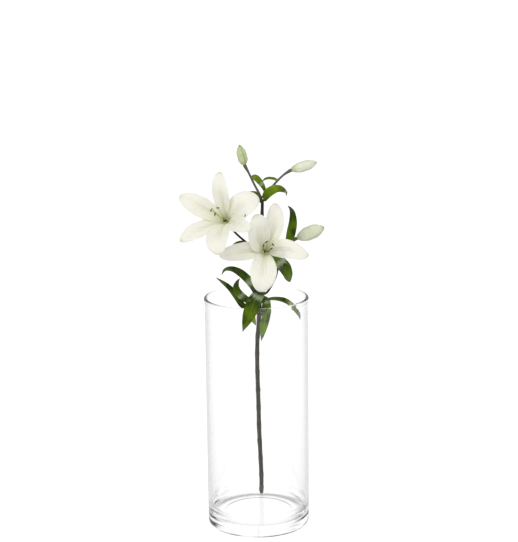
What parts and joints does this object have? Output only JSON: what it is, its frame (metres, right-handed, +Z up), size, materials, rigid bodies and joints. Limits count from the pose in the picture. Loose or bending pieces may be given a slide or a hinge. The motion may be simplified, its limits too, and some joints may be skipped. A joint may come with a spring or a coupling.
{
  "type": "lilies in a vase",
  "caption": "Cut white lily stem with open blooms, closed buds and curling leaves, standing in a tall clear glass cylinder vase.",
  "frame": {"origin": "centre of the vase's flat underside, on the surface it stands on", "axes": "+Z up along the vase's axis, -Y the front: the side of the rim that the stem leans on and the blooms face"},
  "size_m": [0.1979, 0.2828, 0.5871],
  "materials": {
    "glass": "clear, polished, slightly grey at the rim and heel",
    "stem": "dull brown-green skin with old leaf scars",
    "petal": "soft waxy white with fine lengthwise veins, greener in the throat",
    "stamen": "yellow-green filaments with dark brown powdery anthers",
    "bud": "soft waxy pale green, darker along the seams",
    "leaf": "glossy green with parallel veins"
  },
  "bodies": {
    "root": {"vase": "glass", "stem": "stem", "bloom_front": "petal", "stamens_front": "stamen", "bloom_left": "petal", "stamens_left": "stamen", "bud_upper_left": "bud", "bud_upper_right": "bud", "bud_right": "bud", "bract_behind_petal": "leaf", "bract_left": "leaf", "bract_arch": "leaf", "bract_right": "leaf", "bract_on_left_stalk": "leaf", "leaf_upright": "leaf", "leaf_hanging": "leaf", "leaf_right": "leaf", "leaf_inside": "leaf", "leaf_over_rim": "leaf", "leaf_left_tip": "leaf", "leaf_left_long": "leaf", "leaf_left_fold": "leaf", "leaf_left_arch": "leaf"}
  },
  "joints": []
}
